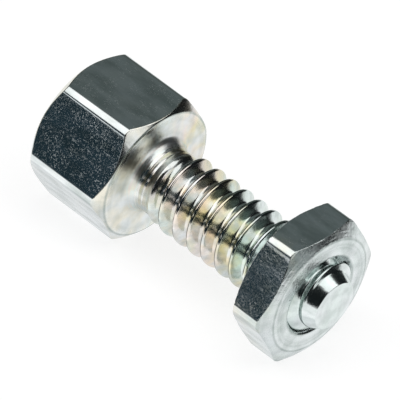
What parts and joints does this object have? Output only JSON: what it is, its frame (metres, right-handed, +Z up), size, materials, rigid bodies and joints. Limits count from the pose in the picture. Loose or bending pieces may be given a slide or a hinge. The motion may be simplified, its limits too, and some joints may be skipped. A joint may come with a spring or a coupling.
{
  "type": "connector screw lock",
  "caption": "Hex head with a tapped socket in its outer end and a threaded stud, with a hex nut that runs along the stud to clamp a panel.",
  "frame": {"origin": "on the stud's axis, in the plane of the shoulder that seats on the panel", "axes": "+X along the stud, from the shoulder to the tip; +Z up, out of the upper flat of the head as the part lies"},
  "size_m": [0.0115, 0.0054, 0.0048],
  "materials": {
    "zinc_plated_body": "bright zinc plate with a faint coloured passivation",
    "zinc_plated_nut": "bright zinc plate with a faint coloured passivation"
  },
  "bodies": {
    "lock_body": {"screw_lock_body": "zinc_plated_body"},
    "nut": {"hex_nut": "zinc_plated_nut"}
  },
  "joints": [
    {"name": "nut_travel", "type": "slide", "parent": "lock_body", "child": "nut", "axis": [1, 0, 0], "range_m": [-0.00508, 0.00254]}
  ]
}
